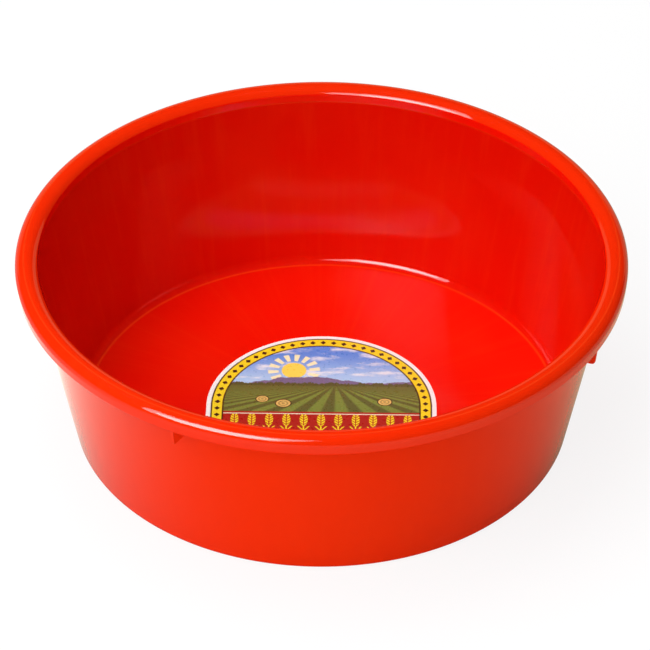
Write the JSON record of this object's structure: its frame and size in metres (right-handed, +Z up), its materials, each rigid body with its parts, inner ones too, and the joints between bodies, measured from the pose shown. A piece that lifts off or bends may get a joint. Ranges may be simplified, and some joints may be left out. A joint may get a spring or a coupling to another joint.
{
  "type": "feed pan",
  "caption": "Shallow round moulded feed pan with a sloping wall, a rolled rim with stacking ribs beneath it, and a printed label stuck to its floor.",
  "frame": {"origin": "centre of the base, on the surface that the pan stands on", "axes": "+Z up along the pan's axis of revolution; -Y towards the lower edge of the label, the side the pan is looked into from; +X to the right of it"},
  "size_m": [0.311, 0.311, 0.104],
  "materials": {
    "pan_plastic": "glossy moulded polyethylene, bright orange-red",
    "label_adhesive": "thin translucent pressure-sensitive adhesive",
    "label_print": "coated printed face sheet, semi-gloss"
  },
  "bodies": {
    "root": {"pan_body": "pan_plastic", "label_adhesive": "label_adhesive", "label_face": "label_print"}
  },
  "joints": []
}
